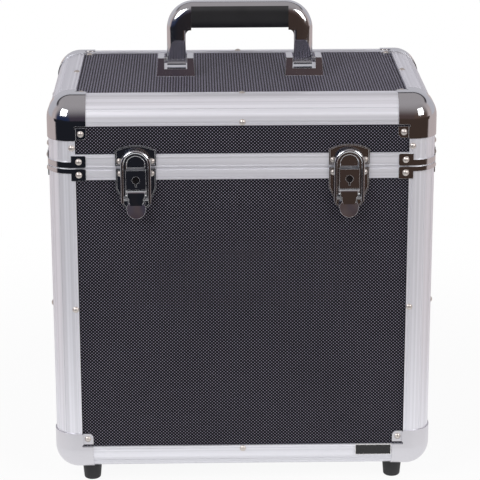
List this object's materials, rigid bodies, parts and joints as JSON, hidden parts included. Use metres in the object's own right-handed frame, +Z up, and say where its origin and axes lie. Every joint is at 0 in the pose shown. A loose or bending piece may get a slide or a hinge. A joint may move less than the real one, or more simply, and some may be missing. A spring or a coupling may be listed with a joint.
{
  "type": "record carrying case",
  "caption": "Upright carrying case with dark panels in rounded metal edge rails, capped corners, a hinged lid, key-lock draw latches, a folding top handle and rubber feet.",
  "frame": {"origin": "on the plane of the feet, under the middle of the overall box", "axes": "+Z up, -Y towards the latches at the front, +X towards the viewer's right when the front is seen"},
  "size_m": [0.3704, 0.2538, 0.4635],
  "materials": {
    "laminate_board": "board with a black laminate skin, covered in a fine staggered lattice of light grey dots",
    "aluminium": "satin extruded aluminium with fine lengthwise grooves",
    "chrome": "bright nickel-chrome plate on pressed steel",
    "rivet_steel": "bright domed rivets",
    "steel": "plain bright steel pins and screws",
    "rubber": "matte black moulded rubber",
    "grip": "satin black moulded grip",
    "lining": "short black pile lining on thin foam",
    "black_plate": "blank black plate with a thin pale raised border"
  },
  "bodies": {
    "body": {"front_panel": "laminate_board", "rear_panel": "laminate_board", "left_panel": "laminate_board", "right_panel": "laminate_board", "bottom_panel": "laminate_board", "body_lining": "lining", "body_corner_posts": "aluminium", "bottom_edge_rails": "aluminium", "body_rim": "aluminium", "bottom_corner_caps": "chrome", "body_seam_brackets": "chrome", "body_rivets": "rivet_steel", "feet": "rubber", "foot_screws": "steel", "blank_plate": "black_plate", "left_latch_base": "chrome", "left_lock_housing": "chrome", "left_lever_pin": "steel", "right_latch_base": "chrome", "right_lock_housing": "chrome", "right_lever_pin": "steel", "body_hinge_leaves": "chrome", "hinge_pins": "steel"},
    "lid": {"lid_top_panel": "laminate_board", "lid_front_panel": "laminate_board", "lid_rear_panel": "laminate_board", "lid_left_panel": "laminate_board", "lid_right_panel": "laminate_board", "lid_lining": "lining", "lid_corner_posts": "aluminium", "top_edge_rails": "aluminium", "lid_rim": "aluminium", "top_corner_caps": "chrome", "lid_seam_brackets": "chrome", "lid_rivets": "rivet_steel", "left_keeper": "chrome", "right_keeper": "chrome", "lid_hinge_leaves": "chrome", "left_handle_bracket": "chrome", "right_handle_bracket": "chrome", "bracket_screws": "steel", "handle_pins": "steel"},
    "left_lever": {"left_lever": "chrome"},
    "left_bail": {"left_bail": "chrome", "left_bail_pin": "steel"},
    "right_lever": {"right_lever": "chrome"},
    "right_bail": {"right_bail": "chrome", "right_bail_pin": "steel"},
    "left_lock": {"left_lock_barrel": "steel"},
    "right_lock": {"right_lock_barrel": "steel"},
    "handle": {"handle_bow": "chrome", "handle_grip": "grip", "handle_core": "steel"}
  },
  "joints": [
    {"name": "lid_hinge", "type": "hinge", "parent": "body", "child": "lid", "pos_m": [0, 0.12275, 0.328], "axis": [-1, 0, 0], "range_deg": [0, 100]},
    {"name": "left_lever_pivot", "type": "hinge", "parent": "body", "child": "left_lever", "pos_m": [-0.1, -0.12115, 0.3047], "axis": [-1, 0, 0], "range_deg": [0, 95]},
    {"name": "left_bail_pivot", "type": "hinge", "parent": "left_lever", "child": "left_bail", "pos_m": [-0.1, -0.12165, 0.2984], "axis": [-1, 0, 0], "range_deg": [-106, 0]},
    {"name": "left_key_turn", "type": "hinge", "parent": "body", "child": "left_lock", "pos_m": [-0.1, -0.12435, 0.31785], "axis": [0, -1, 0], "range_deg": [0, 90]},
    {"name": "right_lever_pivot", "type": "hinge", "parent": "body", "child": "right_lever", "pos_m": [0.1, -0.12115, 0.3047], "axis": [-1, 0, 0], "range_deg": [0, 95]},
    {"name": "right_bail_pivot", "type": "hinge", "parent": "right_lever", "child": "right_bail", "pos_m": [0.1, -0.12165, 0.2984], "axis": [-1, 0, 0], "range_deg": [-106, 0]},
    {"name": "right_key_turn", "type": "hinge", "parent": "body", "child": "right_lock", "pos_m": [0.1, -0.12435, 0.31785], "axis": [0, -1, 0], "range_deg": [0, 90]},
    {"name": "handle_fold", "type": "hinge", "parent": "lid", "child": "handle", "pos_m": [0, 0.00104, 0.406], "axis": [1, 0, 0], "range_deg": [-76, 76]}
  ],
  "couplings": [
    {"joint": "left_bail_pivot", "follows": "left_lever_pivot", "ratio": -1.1},
    {"joint": "right_bail_pivot", "follows": "right_lever_pivot", "ratio": -1.1}
  ]
}
